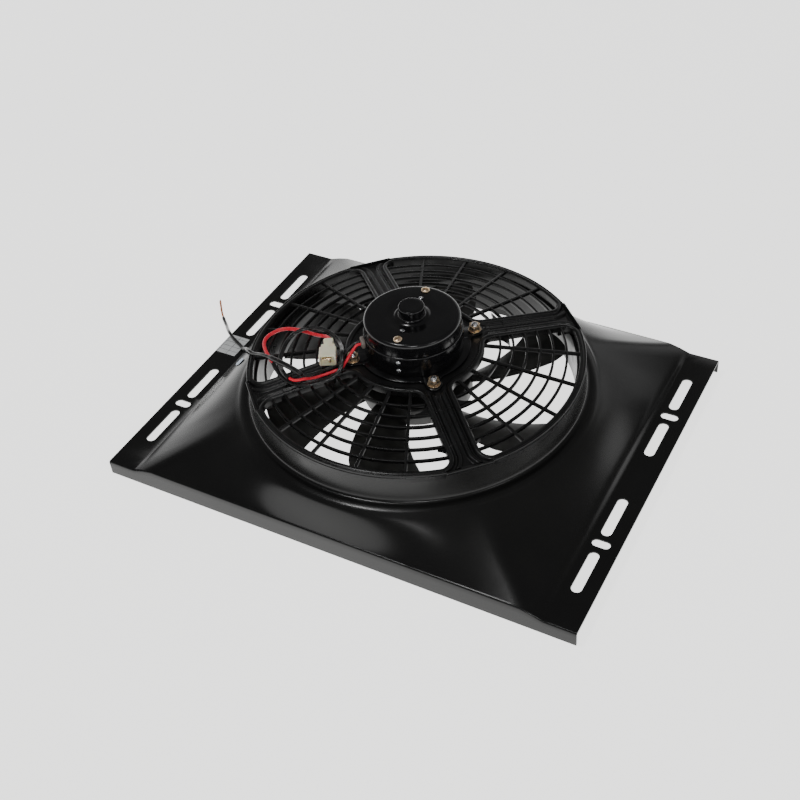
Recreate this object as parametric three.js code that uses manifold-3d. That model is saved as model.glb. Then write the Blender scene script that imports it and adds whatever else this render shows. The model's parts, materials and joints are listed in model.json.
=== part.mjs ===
// Fan and cowl assembly of a hydraulic oil cooler: a pressed steel cowl, a moulded guard and
// duct ring, a six-blade axial impeller and its brushed motor. Millimetres, +Z up, the fan axis
// on Z, the cowl's front edge towards -Y, the floor at z = 0.
import * as THREE from 'three';
import { mergeVertices } from 'three/addons/utils/BufferGeometryUtils.js';
import Module from 'manifold-3d';

const wasm = await Module();
wasm.setup();
const { Manifold } = wasm;

// ---------------------------------------------------------------- driving dimensions
const GAP = 0.3;                       // clearance that touching pieces keep
const SEG = 40;                        // facets round every large circle

const PLATE = { x: 500, y: 387, z: 15.7, sheet: 1.5 };
const HOOD = { border: 30.8, rise: 6.5, collarR: 165, collarZ: 86, footR: 170.2, footZ: 57.1 };
const SLOT = { fromEdge: 18.8, width: 10, length: 50, near: 56, far: 127.5 };
const CROSS_SLOT = { fromEdge: 18, width: 9, length: 17.4, at: 91.5 };

const GUARD = {
  rimR: 166, rimZ: 89.3, rimUnder: 86.3, skirtR: 162.4, lipR: 161, discR: 160.4, openR: 160, topZ: 88.6,
  slope: 0.134, hubR: 68, boreR: 42,
};
const GRILL = {
  pitch: 12.8, rings: 6, ringW: 2.4, ribW: 3, depth: 3.4, ribAngles: [-24.6, -8.2, 8.2, 24.6],
};
const ARM = { half: 14.5, angles: [45, 135, 225, 315], plate: 4, drop: 2, lip: 3.2, proud: 1.2 };
const TAB = { inner: 158, outer: 166.8, width: 44 };           // flat ends of the arms at the rim
const LUG = { r: 152, hole: 1.9, boss: 4.2, bossZ: 78.3, z: 75.5 };   // screws of the duct ring

const DUCT = { inR: 157, outR: 162.4, bottom: 38, top: 79.5, flangeR: 175, flangeZ: 50.5 };
const BLADE = { count: 6, tipR: 152.4, midZ: 54.5, halfAngle: 16.5, at: 41.5, sweep: 0.21, t: 2.6 };
const HUB = { r: 55, z: 46, h: 20, wall: 3 };

const NUT = { r: 62, across: 10, h: 5, stud: 6 };
const MOUNT = { z: 99.5, t: 2.3, r: 55 };
const CAN = { r: 49.3, z: MOUNT.z + MOUNT.t + GAP, top: 124, wall: 1.8 };
const CAP = { r: 46.6, z: CAN.top + GAP, top: 139, wall: 1.6 };
const BOSS = { r: 12.6, top: 150.5 };
const CAP_SCREW = { r: 39, angle: 98 };
const CAP_RIVET_R = 25.8;
const CONNECTOR = {
  at: [-68.5, -48, 101.6], turn: 298, frontL: 14.5, frontW: 16.5, frontH: 12.5, rearW: 8.6, wall: 1.5,
};
const SHAFT_R = 4;

// ---------------------------------------------------------------- finishes
const finish = (color, roughness, metalness = 0) =>
  new THREE.MeshStandardMaterial({ color, roughness, metalness });
const BLACK_PAINT = finish(0x17181a, 0.34, 0.1);
const GLOSS_PAINT = finish(0x0d0d0e, 0.18, 0.1);
const MOULDING = finish(0x141517, 0.42);
const BLADE_PLASTIC = finish(0x1b1c1e, 0.5);
const YELLOW_ZINC = finish(0xc9a25a, 0.34, 0.9);
const BRIGHT_STEEL = finish(0xb9bcc0, 0.28, 0.95);
const LAMINATION = finish(0x6c6f73, 0.5, 0.8);
const COPPER = finish(0xb8703c, 0.32, 0.95);
const FERRITE = finish(0x3a3a3d, 0.7, 0.1);
const CARBON = finish(0x2b2b2d, 0.8);
const PHENOLIC = finish(0x6b4a2a, 0.6);
const RED_PVC = finish(0xc8202c, 0.38);
const BLACK_PVC = finish(0x141414, 0.36);
const IVORY = finish(0xe9e2c8, 0.45);
const RUBBER = finish(0x8f8a86, 0.75);
const LABEL = finish(0xc9cbcb, 0.4);
const DOT_INK = finish(0x9fb6d6, 0.45);

// ---------------------------------------------------------------- helpers
const rad = (degrees) => (degrees * Math.PI) / 180;
const polar = (r, degrees) => [r * Math.cos(rad(degrees)), r * Math.sin(rad(degrees))];
const mix = (a, b, t) => a + (b - a) * t;
const part = new THREE.Group();

function place(name, geometry, material, position = [0, 0, 0], turn = 0) {
  const mesh = new THREE.Mesh(geometry, material);
  mesh.name = name;
  mesh.position.set(...position);
  mesh.rotation.z = rad(turn);
  part.add(mesh);
}

function weld(geometry) {
  const bare = geometry.clone();
  bare.deleteAttribute('normal');
  bare.deleteAttribute('uv');
  return mergeVertices(bare, 1e-4);
}

// A closed geometry as a solid that can be joined and cut, with its faces pointing out.
function toSolid(geometry) {
  const welded = geometry.userData.welded ? geometry : weld(geometry);
  const index = Array.from(welded.index.array);
  const triangles = [];
  for (let i = 0; i < index.length; i += 3) {
    const corners = index.slice(i, i + 3);
    if (new Set(corners).size === 3) triangles.push(...corners);
  }
  const make = (order) => new Manifold(new wasm.Mesh({
    numProp: 3,
    vertProperties: welded.attributes.position.array,
    triVerts: Uint32Array.from(order),
  }));
  const solid = make(triangles);
  return solid.volume() < 0 ? make(triangles.reverse()) : solid;
}

function toGeometry(solid) {
  const mesh = solid.getMesh();
  return indexed(mesh.vertProperties, mesh.triVerts);
}

function indexed(positions, triangles) {
  const geometry = new THREE.BufferGeometry();
  geometry.setAttribute('position', new THREE.BufferAttribute(Float32Array.from(positions), 3));
  geometry.setIndex(Array.from(triangles));
  geometry.computeVertexNormals();
  geometry.userData.welded = true;
  return geometry;
}

const union = (pieces) => Manifold.union(pieces.map(toSolid));
const join = (...pieces) => toGeometry(union(pieces));
const cut = (piece, ...tools) => toGeometry(toSolid(piece).subtract(union(tools)));
const common = (a, b) => toGeometry(toSolid(a).intersect(toSolid(b)));

// A geometry of revolution about Z from (radius, height) points that close on themselves.
function turned(profile, segments = SEG) {
  const outline = [...profile, profile[0]].map(([r, z]) => new THREE.Vector2(r, z));
  return new THREE.LatheGeometry(outline, segments).rotateX(Math.PI / 2);
}

const tube = (inner, outer, bottom, top, segments = SEG) =>
  turned([[inner, bottom], [outer, bottom], [outer, top], [inner, top]], segments);
const rod = (r, bottom, top, segments = 24) =>
  new THREE.CylinderGeometry(r, r, top - bottom, segments).rotateX(Math.PI / 2)
    .translate(0, 0, (bottom + top) / 2);
const block = (x, y, z, at = [0, 0, 0]) => new THREE.BoxGeometry(x, y, z).translate(...at);

// The points of an arc, in degrees; a whole circle leaves out its last point.
function arc(r, from, to, steps, centre = [0, 0]) {
  const count = Math.abs(to - from) === 360 ? steps : steps + 1;
  return Array.from({ length: count }, (_, i) => {
    const [x, y] = polar(r, mix(from, to, i / steps));
    return [x + centre[0], y + centre[1]];
  });
}

// A flat outline, with holes in it, given a thickness from one height to another.
function prism(outline, bottom, top, holes = []) {
  const points = (list) => list.map(([x, y]) => new THREE.Vector2(x, y));
  const shape = new THREE.Shape(points(outline));
  shape.holes = holes.map((hole) => new THREE.Path(points(hole)));
  return new THREE.ExtrudeGeometry(shape, { depth: top - bottom, bevelEnabled: false })
    .translate(0, 0, bottom);
}

// A closed geometry from rings of points, each ring with the same number of points.
function skin(rings) {
  const n = rings[0].length;
  const mean = (ring) => [0, 1, 2].map((c) => ring.reduce((sum, p) => sum + p[c], 0) / n);
  const points = [...rings.flat(), mean(rings[0]), mean(rings[rings.length - 1])];
  const [first, last] = [points.length - 2, points.length - 1];
  const triangles = [];
  for (let j = 0; j < n; j += 1) {
    const k = (j + 1) % n;
    for (let a = 0; a < (rings.length - 1) * n; a += n) {
      triangles.push(a + j, a + k, a + n + k, a + j, a + n + k, a + n + j);
    }
    const b = (rings.length - 1) * n;
    triangles.push(first, k, j, last, b + j, b + k);
  }
  return indexed(points.flat(), triangles);
}

// ---------------------------------------------------------------- pressed steel cowl
const CORNER = Math.atan2(PLATE.y / 2, PLATE.x / 2 - HOOD.border) * (180 / Math.PI);

// Where a ray from the fan axis meets the hood's rectangular border, and the height there.
function hoodBorder(degrees) {
  const halfX = PLATE.x / 2 - HOOD.border;
  const halfY = PLATE.y / 2;
  const [c, s] = polar(1, degrees).map(Math.abs);
  const onSide = c * halfY > s * halfX;
  const r = onSide ? halfX / c : halfY / s;
  const fromCorner = onSide ? 0 : halfX - r * c;
  const ease = Math.min(1, fromCorner / 26);
  return { r, z: PLATE.z + HOOD.rise * ease * ease * (3 - 2 * ease) };
}

// The hood's section along one ray, from the collar's top edge out to the border.
function hoodProfile(degrees) {
  const { collarR, collarZ, footR, footZ } = HOOD;
  const edge = hoodBorder(degrees);
  const shoulder = [footR + 10, footZ - 3];
  const fall = edge.z - shoulder[1];
  const run = edge.r - shoulder[0];
  const slope = (t) => {
    const start = Math.max(fall, -0.45 * run);
    return shoulder[1] + (t * (1 - t) * (1 - t)) * start + t * t * (3 - 2 * t) * fall
      - t * t * (1 - t) * fall * 0.9;
  };
  return [
    [collarR, collarZ], [collarR + 1.4, footZ + 4.6], [collarR + 2.6, footZ + 1.5],
    [footR, footZ], [footR + 5.6, footZ - 0.8], shoulder,
    ...[0.3, 0.65].map((t) => [shoulder[0] + t * run, slope(t)]),
    [edge.r, edge.z],
  ];
}

// The same section moved inwards by the sheet's thickness.
function offsetProfile(points, by) {
  const normals = points.slice(1).map(([r, z], i) => {
    const [dr, dz] = [r - points[i][0], z - points[i][1]];
    const length = Math.hypot(dr, dz);
    return [dz / length, -dr / length];
  });
  return points.map(([r, z], i) => {
    const a = normals[Math.max(0, i - 1)];
    const b = normals[Math.min(normals.length - 1, i)];
    const k = by / (1 + a[0] * b[0] + a[1] * b[1]);
    return [r + (a[0] + b[0]) * k, z + (a[1] + b[1]) * k];
  });
}

function hoodSolid(inner) {
  const rays = [];
  for (let a = 0; a < 360; a += 9) rays.push(a);
  rays.push(CORNER, 180 - CORNER, 180 + CORNER, 360 - CORNER);
  rays.sort((a, b) => a - b);
  const columns = rays.map((angle) => {
    let section = hoodProfile(angle);
    if (inner) {
      section = offsetProfile(section, PLATE.sheet);
      const shrink = 1 - PLATE.sheet / (PLATE.y / 2);
      section[section.length - 1][0] = hoodBorder(angle).r * shrink;
      section[0][1] += 2;
    }
    const edge = section[section.length - 1];
    section.push([edge[0], inner ? -1 : 0]);
    return section.map(([r, z]) => [...polar(r, angle), z]);
  });
  return skin(columns[0].map((_, j) => columns.map((column) => column[j])));
}

function hoodHeight(x, y) {
  const r = Math.hypot(x, y);
  const section = hoodProfile((Math.atan2(y, x) * 180) / Math.PI);
  const i = section.findIndex(([edge]) => edge > r);
  const [a, b] = [section[i - 1], section[i]];
  return mix(a[1], b[1], (r - a[0]) / (b[0] - a[0]));
}

function roundSlot(length, width, turn, x, y) {
  const straight = (length - width) / 2;
  const right = arc(width / 2, -90, 90, 6, [straight, 0]);
  const left = arc(width / 2, 90, 270, 6, [-straight, 0]);
  return prism([...right, ...left], 5, 25).rotateZ(rad(turn)).translate(x, y, 0);
}

function cowl() {
  const { x, y, z, sheet } = PLATE;
  const outer = join(block(x, y, z, [0, 0, z / 2]), hoodSolid(false));
  const inner = block(x + 2, y - 2 * sheet, z - sheet + 1, [0, 0, (z - sheet - 1) / 2]);
  const holes = [];
  for (const side of [-1, 1]) {
    for (const end of [-1, 1]) {
      for (const at of [SLOT.near, SLOT.far]) {
        holes.push(roundSlot(SLOT.length, SLOT.width, 90, side * (x / 2 - SLOT.fromEdge), end * at));
      }
      const { length, width, fromEdge, at } = CROSS_SLOT;
      holes.push(roundSlot(length, width, 0, side * (x / 2 - fromEdge), end * at));
    }
  }
  return cut(outer, inner, hoodSolid(true), ...holes);
}

place('cowl', cowl(), BLACK_PAINT);

// ---------------------------------------------------------------- fan guard and duct ring
const coneZ = (r) => GUARD.topZ + GUARD.slope * (GUARD.openR - Math.max(r, GUARD.hubR - 2));

// Lays a flat geometry on the guard's shallow cone.
function onCone(geometry) {
  const position = geometry.attributes.position;
  for (let i = 0; i < position.count; i += 1) {
    const r = Math.hypot(position.getX(i), position.getY(i));
    position.setZ(i, position.getZ(i) + coneZ(r));
  }
  return geometry;
}

// One of the guard's four openings, between two arms, made larger by grow all round.
function opening(sector, grow) {
  const fillet = 11 + grow;
  const outer = Math.min(GUARD.openR + grow, GUARD.lipR);
  const inner = GUARD.hubR - grow;
  const edge = ARM.half - grow + fillet;
  const far = 45 - (Math.asin(edge / (outer - fillet)) * 180) / Math.PI;
  const near = 45 - (Math.asin(edge / (inner + fillet)) * 180) / Math.PI;
  const half = [
    ...arc(outer, 0, far, 4),
    ...arc(fillet, far, 135, 2, polar(outer - fillet, far)).slice(1),
    ...arc(fillet, 135, near + 180, 2, polar(inner + fillet, near)),
    ...arc(inner, near, 0, 2).slice(1),
  ];
  const mirrored = half.slice(1, -1).map(([x, y]) => [x, -y]).reverse();
  const [c, s] = polar(1, sector);
  return [...half, ...mirrored].map(([x, y]) => [x * c - y * s, x * s + y * c]);
}

const SECTORS = [0, 90, 180, 270];

function grill() {
  const bottom = -GRILL.depth;
  const corners = SECTORS.flatMap((a) => [...GRILL.ribAngles, 45].map((b) => a + b));
  const hoop = (r) => corners.map((a) => polar(r, a));
  const lines = [];
  for (let i = 1; i <= GRILL.rings; i += 1) {
    const r = GUARD.openR - i * GRILL.pitch;
    lines.push(prism(hoop(r + GRILL.ringW / 2), bottom, 0, [hoop(r - GRILL.ringW / 2)]));
  }
  const ribLength = GUARD.openR - GUARD.hubR + 5;
  const ribMiddle = (GUARD.openR + GUARD.hubR - 1) / 2;
  for (const sector of SECTORS) {
    for (const a of GRILL.ribAngles) {
      lines.push(block(ribLength, GRILL.ribW, GRILL.depth, [ribMiddle, 0, bottom / 2])
        .rotateZ(rad(sector + a)));
    }
  }
  return common(join(...lines), join(...SECTORS.map((a) => prism(opening(a, 0.5), -9, 9))));
}

function fanGuard() {
  const low = -ARM.drop - ARM.plate;
  const plate = cut(rod(GUARD.discR, low, -ARM.drop, SEG), rod(GUARD.boreR, -9, 9),
    ...SECTORS.map((a) => prism(opening(a, ARM.lip / 2), -9, 9)));
  const lips = SECTORS.map((a) => prism(opening(a, ARM.lip), low, ARM.proud, [opening(a, 0)]));
  const { skirtR, rimR, rimZ, rimUnder } = GUARD;
  const rim = turned([[159.6, 80], [skirtR, 80], [skirtR, rimUnder], [rimR, rimUnder],
    [rimR, rimZ], [159.6, rimZ]]);
  const tabSize = [TAB.outer - TAB.inner, TAB.width, rimZ - rimUnder];
  const tabAt = [(TAB.outer + TAB.inner) / 2, 0, (rimZ + rimUnder) / 2];
  const tabs = ARM.angles.map((a) => block(...tabSize, tabAt).rotateZ(rad(a)));
  const bosses = ARM.angles.map((a) => tube(LUG.hole, LUG.boss, LUG.bossZ, 85, 8)
    .translate(...polar(LUG.r, a), 0));
  const studHoles = ARM.angles.map((a) => rod(NUT.stud / 2 + GAP, 80, 110, 12)
    .translate(...polar(NUT.r, a), 0));
  return cut(join(onCone(join(plate, ...lips, grill())), rim, ...tabs, ...bosses), ...studHoles);
}

place('fan_guard', fanGuard(), MOULDING);

function ductRing() {
  const { inR, outR, bottom, top, flangeR, flangeZ } = DUCT;
  const ring = turned([[inR, bottom], [inR + 3, bottom], [inR + 3, flangeZ], [flangeR, flangeZ],
    [flangeR, flangeZ + 3], [outR, flangeZ + 3], [outR, top], [inR, top]]);
  const lugs = ARM.angles.map((a) => block(12, 14, 5, [LUG.r + 1, 0, LUG.z]).rotateZ(rad(a)));
  const holes = ARM.angles.map((a) => rod(LUG.hole, 70, 79, 16).translate(...polar(LUG.r, a), 0));
  return cut(join(ring, ...lugs), ...holes);
}

place('duct_ring', ductRing(), MOULDING);

const guardScrew = join(rod(3.4, 0, 2.3, 16), rod(1.5, 1, 12.2, 10));
ARM.angles.forEach((a, i) => {
  place(`guard_screw_${i + 1}`, guardScrew, BRIGHT_STEEL, [...polar(LUG.r, a), 70.4]);
});

// ---------------------------------------------------------------- impeller
function blade(angle) {
  const radii = [HUB.r - 1.5, 76, 100, 124, 144, BLADE.tipR];
  const across = [-1, -0.4, 0.3, 1];
  const sections = radii.map((r) => {
    const out = (r - HUB.r) / (BLADE.tipR - HUB.r);
    const half = BLADE.halfAngle * (out > 0.9 ? 0.93 : 1);
    const depth = mix(8, 12, Math.min(1, out * 1.6));
    const point = (s, lift) => {
      const [x, y] = polar(r, angle + BLADE.sweep * (r - 112) + s * half);
      return [x, y, BLADE.midZ + (r < 60 ? 1 : 0) - s * depth + (1 - s * s) * 2.5 + lift];
    };
    return [...across.map((s) => point(s, BLADE.t / 2)),
      ...across.map((s) => point(-s, -BLADE.t / 2))];
  });
  return skin(sections);
}

function impeller() {
  const { r, z, h, wall } = HUB;
  const top = z + h;
  const cup = turned([[SHAFT_R + 0.5, z + 8], [11, z + 8], [11, top - wall], [r - wall, top - wall],
    [r - wall, z], [r, z], [r, top - 2], [r - 2, top], [SHAFT_R + 0.5, top]], 30);
  const web = cut(join(...[0, 60, 120].map((a) => block(2 * (r - 1), 2.4, 12, [0, 0, top - 8])
    .rotateZ(rad(a)))), rod(10, z - 2, top));
  const blades = Array.from({ length: BLADE.count },
    (_, i) => blade(BLADE.at + (i * 360) / BLADE.count));
  return join(cup, web, ...blades);
}

place('impeller', impeller(), BLADE_PLASTIC);
place('shaft', rod(SHAFT_R, 50, 148, 24), BRIGHT_STEEL);
place('hub_clip', tube(SHAFT_R + GAP, 8.5, 51.5, 52.7, 16), BRIGHT_STEEL);

// ---------------------------------------------------------------- motor housing
function motorMount() {
  const top = MOUNT.z + MOUNT.t;
  const disc = rod(MOUNT.r, MOUNT.z, top, SEG);
  const lobes = ARM.angles.flatMap((a) => [
    block(NUT.r - 30, 16, MOUNT.t, [(NUT.r + 30) / 2, 0, MOUNT.z + MOUNT.t / 2]).rotateZ(rad(a)),
    rod(8, MOUNT.z, top, 16).translate(...polar(NUT.r, a), 0),
  ]);
  const bell = turned([[SHAFT_R + 0.8, 84], [36, 84], [36, MOUNT.z + 1], [34.4, MOUNT.z + 1], [34.4, 86],
    [13.2, 86], [13.2, 95], [11.5, 95], [11.5, 86], [SHAFT_R + 0.8, 86]], 24);
  const bores = ARM.angles.map((a) => rod(NUT.stud / 2 + GAP, 90, 110, 10)
    .translate(...polar(NUT.r, a), 0));
  return join(cut(join(disc, ...lobes), rod(34.4, 90, 110), ...bores), bell);
}

place('motor_mount', motorMount(), GLOSS_PAINT);

const GROMMET = { angle: 222, z: 118, holeR: 4.6 };
const leadHole = rod(GROMMET.holeR, 0, 12, 20).rotateY(Math.PI / 2).translate(44, 0, GROMMET.z)
  .rotateZ(rad(GROMMET.angle));
place('motor_can', cut(tube(CAN.r - CAN.wall, CAN.r, CAN.z, CAN.top), leadHole), GLOSS_PAINT);

place('motor_cap', turned([
  [CAP.r, CAP.z], [CAP.r, CAP.top - 3], [CAP.r - 1, CAP.top - 0.9], [CAP.r - 3, CAP.top],
  [22, CAP.top], [20.5, CAP.top - 1], [15, CAP.top - 1], [BOSS.r, CAP.top + 1.2],
  [BOSS.r, BOSS.top - 1.4], [BOSS.r - 1.4, BOSS.top], [0, BOSS.top], [0, BOSS.top - 1.5],
  [BOSS.r - 1.5, BOSS.top - 1.5], [BOSS.r - 1.5, CAP.top - 2.2], [CAP.r - 4, CAP.top - 2.2],
  [CAP.r - CAP.wall, CAP.top - 4.5], [CAP.r - CAP.wall, CAP.z],
], 32), GLOSS_PAINT);

const hexNut = prism(arc(NUT.across / 2 / Math.cos(rad(30)), 0, 360, 6), 0, NUT.h,
  [arc(NUT.stud / 2 + GAP, 0, 360, 10)]);
const washer = tube(NUT.stud / 2 + GAP, 6.4, 0, 1, 16);
const stud = rod(NUT.stud / 2, 0, 17, 10);
ARM.angles.forEach((a, i) => {
  const at = polar(NUT.r, a);
  const washerZ = MOUNT.z + MOUNT.t + GAP;
  place(`mount_stud_${i + 1}`, stud, BRIGHT_STEEL, [...at, 93.6]);
  place(`mount_washer_${i + 1}`, washer, YELLOW_ZINC, [...at, washerZ]);
  place(`mount_nut_${i + 1}`, hexNut, YELLOW_ZINC, [...at, washerZ + 1 + GAP], 20 + 25 * i);
});

const capScrew = cut(join(rod(4.2, 0, 1.2, 20), rod(3.2, 1, 2.4, 20)), block(9, 1, 1.4, [0, 0, 2.4]));
const capRivet = rod(2.2, 0, 1.4, 16);
for (const [i, turn] of [[1, 20], [2, 70]]) {
  const angle = CAP_SCREW.angle + (i - 1) * 180;
  place(`cap_screw_${i}`, capScrew, YELLOW_ZINC, [...polar(CAP_SCREW.r, angle), CAP.top + GAP], turn);
  place(`cap_rivet_${i}`, capRivet, BRIGHT_STEEL, [...polar(CAP_RIVET_R, angle), CAP.top + GAP]);
}
const sideRivet = rod(2.3, 0, 1.5, 16).rotateY(Math.PI / 2).translate(CAN.r + GAP, 0, 0);
place('can_rivet_1', sideRivet, BRIGHT_STEEL, [0, 0, 119], 281);
place('can_rivet_2', sideRivet, BRIGHT_STEEL, [0, 0, 109.5], 281);

// ---------------------------------------------------------------- inside the motor
function armature() {
  const slots = [];
  for (let a = 0; a < 360; a += 45) {
    slots.push(block(12, 2.6, 20, [34, 0, 112]).rotateZ(rad(a)));
    slots.push(block(9, 6, 20, [28, 0, 112]).rotateZ(rad(a)));
  }
  return cut(tube(SHAFT_R + GAP, 38, 104, 120, 24), ...slots);
}

place('armature_core', armature(), LAMINATION);
place('winding_lower', tube(14, 32, 97, 103.7, 24), COPPER);
place('winding_upper', tube(14, 32, 120.3, 124, 24), COPPER);
place('commutator', tube(SHAFT_R + GAP, 11, 124.6, 132.5, 24), COPPER);
const magnet = cut(tube(39, 47.2, 103, 121), block(200, 44, 40, [0, 0, 112]),
  block(200, 80, 40, [0, -40, 112]));
place('magnet_front', magnet, FERRITE, [0, 0, 0], 180);
place('magnet_rear', magnet, FERRITE);
place('rear_bearing', tube(SHAFT_R + GAP, 10.8, 139.5, 146.5, 20), BRIGHT_STEEL);
place('front_bearing', tube(SHAFT_R + GAP, 11.1, 86.3, 93.3, 20), BRIGHT_STEEL);
place('brush_card', tube(13, 40, 133, 134.8, 24), PHENOLIC);
for (const [side, turn] of [['left', 180], ['right', 0]]) {
  place(`brush_${side}`, block(11, 6, 6, [17, 0, 129]), CARBON, [0, 0, 0], turn);
  place(`brush_spring_${side}`, tube(1.6, 2.6, 0, 9, 12).rotateY(Math.PI / 2)
    .translate(23, 0, 129), BRIGHT_STEEL, [0, 0, 0], turn);
}

// ---------------------------------------------------------------- leads, sleeve and connector
const grommet = join(rod(4.3, -1.7, 0.4, 20), rod(6, 0.2, 2.6, 20)).rotateY(Math.PI / 2)
  .translate(CAN.r + 0.1, 0, GROMMET.z).rotateZ(rad(GROMMET.angle));
place('grommet', grommet, RUBBER);

// Each route is a lead's centre line from end to end.
const RED_LEAD = [
  [-37.8, -36.2, 118], [-40.5, -38.8, 117.5], [-42.5, -43.5, 114.6], [-44, -49, 110.8],
  [-45.5, -54.5, 106.6], [-47, -61, 103.4], [-51, -65, 102.6], [-55, -69, 101.6], [-60, -74, 100.6],
  [-65, -79, 100.2], [-69, -83.6, 101.2], [-72, -88, 103.1], [-75.4, -92, 103.7], [-80, -94, 103.6],
  [-85.6, -92.9, 103],
];
const BLACK_LEAD = [
  [-40, -33.8, 118], [-42.8, -36.4, 117.4], [-46, -40.4, 115.2], [-48.6, -45, 112.4],
  [-50.4, -49.5, 108.6], [-51.4, -54, 105.2], [-52.6, -58.4, 103.6], [-54.8, -62.2, 103], [-58, -66, 102.8],
  [-61.4, -70.4, 103], [-64.6, -75.4, 103.8], [-67.4, -80.6, 105.1], [-69.6, -84.4, 106.1],
  [-71.4, -86.6, 106.6], [-73.2, -87.3, 106.7],
];
const SHEATHED_LOOP = [
  [-86.4, -92.7, 103], [-91.4, -90.4, 102.5], [-99, -84.6, 100.6], [-105.5, -78, 98.3],
  [-110.5, -71, 96.7], [-116, -62, 96.5], [-120, -50, 96.6], [-121.6, -39.5, 97.6],
  [-119, -31.6, 100.6], [-113, -25.6, 103.4], [-106.6, -20.8, 104.2], [-99.6, -17, 103.6],
  [-90.6, -16, 102.4], [-79, -20.6, 102.9], [-67.4, -29.4, 105], [-57.6, -40.4, 110],
  [-51.6, -49.5, 113.6], [-47.6, -56.5, 112.2], [-45.6, -62, 108.8], [-45, -67.6, 105.8],
  [-48, -74, 103.4], [-53, -79.4, 101.2],
  [-60, -85.2, 100], [-68.4, -90.4, 98.8], [-78, -92.4, 97.6], [-90, -91, 96.8], [-101, -86, 96.2],
  [-111, -79, 95.7], [-117.8, -73.2, 95.4],
];
const RED_PIGTAIL = [
  [-118.3, -72.8, 95.4], [-123, -69.6, 95], [-130, -64, 94.2], [-138, -57, 93.5], [-144, -50, 93.1],
  [-147, -43, 93], [-147, -36, 93.2], [-144, -30, 93.8], [-140, -25, 94.5], [-133, -21.8, 95.5],
  [-125, -20.6, 96.5], [-117, -20.8, 97.6], [-107, -22.2, 98.9], [-98, -24.4, 101], [-91, -25.4, 102.8],
  [-84.6, -26.4, 104.6], [-79, -29.6, 106.3], [-76.4, -33.3, 107],
];
const SLEEVE = [
  [-74.3, -87.2, 106.7], [-85, -84, 106.7], [-98, -80.4, 106], [-111, -76.8, 104.4], [-123, -73, 102],
];
const BLACK_TAIL = [
  [-123.4, -72.8, 101.9], [-132, -70, 99], [-140, -67.6, 95.4], [-147, -66, 92.8],
  [-153.4, -63.4, 91.6], [-160, -58.4, 87.8], [-167, -51, 79.5], [-175, -41.6, 69],
  [-182, -33.4, 61], [-188.6, -26.4, 54.4], [-196, -19.4, 46.8], [-203.4, -12, 38.2],
  [-211, -3.8, 28.6], [-218.4, 4, 20.6], [-226, 9.4, 18.9], [-235, 14, 18.7], [-243, 18.4, 18.6],
  [-250, 23.2, 18.6], [-257, 29.6, 15.4], [-265, 38, 8.8], [-273, 46.4, 4.4], [-281, 54, 2.4],
  [-287.4, 60, 2.1],
];
const BARE_TIP = [[-287.7, 60.3, 2.1], [-295, 68, 1.8], [-303, 77.6, 1.6], [-310, 86, 1.6]];

function wire(route, radius, steps, sides = 8) {
  const path = new THREE.CatmullRomCurve3(route.map((p) => new THREE.Vector3(...p)));
  const section = new THREE.Shape();
  for (let i = 0; i < sides; i += 1) {
    const [x, y] = polar(radius, (i * 360) / sides);
    if (i === 0) section.moveTo(x, y); else section.lineTo(x, y);
  }
  section.closePath();
  return new THREE.ExtrudeGeometry(section, { steps, extrudePath: path, bevelEnabled: false });
}

function placeWire(name, route, radius, steps, material) {
  const mesh = new THREE.Mesh(wire(route, radius, steps), material);
  mesh.name = name;
  part.add(mesh);
}

placeWire('red_lead', RED_LEAD, 1.4, 22, RED_PVC);
placeWire('black_lead', BLACK_LEAD, 1.4, 20, BLACK_PVC);
placeWire('sheathed_loop', SHEATHED_LOOP, 2.3, 48, BLACK_PVC);
placeWire('red_pigtail', RED_PIGTAIL, 1.9, 28, RED_PVC);
placeWire('splice_sleeve', SLEEVE, 2.75, 8, BLACK_PVC);
placeWire('black_tail', BLACK_TAIL, 1.8, 44, BLACK_PVC);
placeWire('bare_tip', BARE_TIP, 1.2, 8, COPPER);

// The connector lies on the guard with its mouth to the front; its length runs along local X.
function connector() {
  const { frontL, frontW, frontH, rearW, wall } = CONNECTOR;
  const front = block(frontL, frontW, frontH, [frontL / 2, 0, frontH / 2]);
  const shoulder = block(5, frontW - 3, frontH - 1.5, [-2.4, 0, frontH / 2 - 0.2]);
  const rear = block(frontL + 0.1, rearW, 9, [-frontL / 2, 0, 6.5]);
  const mouth = block(frontL, frontW - 2 * wall, frontH - 2 * wall, [frontL / 2 + 4.5, 0, frontH / 2]);
  const latch = block(9, rearW / 2, 1.4, [-3, 0, 11.7]);
  return cut(join(front, shoulder, rear, latch), mouth);
}

place('connector', connector(), IVORY, CONNECTOR.at, CONNECTOR.turn);
const terminals = join(block(9, 8.8, 1.2, [9.4, -0.8, 7.6]), block(9, 1.2, 5, [9.4, 2.4, 5.4]));
place('connector_terminals', terminals, YELLOW_ZINC, CONNECTOR.at, CONNECTOR.turn);

// ---------------------------------------------------------------- label and inspection dot
place('label', block(24.4, 30.6, 0.25, [-237, 9.2, PLATE.z + GAP + 0.125]), LABEL);

const DOT = [-190, -38];
const dotTurn = (Math.atan2(DOT[1], DOT[0]) * 180) / Math.PI;
const dotR = Math.hypot(...DOT);
const dotTilt = (Math.atan2(
  hoodHeight(...polar(dotR - 3, dotTurn)) - hoodHeight(...polar(dotR + 3, dotTurn)), 6) * 180) / Math.PI;
const dot = rod(1, 0.8, 1.1).scale(6, 4.6, 1).rotateY(rad(dotTilt)).rotateZ(rad(dotTurn));
place('inspection_dot', dot, DOT_INK, [...DOT, hoodHeight(...DOT)]);

export default part;
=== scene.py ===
"""Looks of the fan and cowl assembly: fine surfaces, wiring, materials, light and camera."""
import json
import math

import bmesh
import bpy
from mathutils import Matrix, Vector


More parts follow.
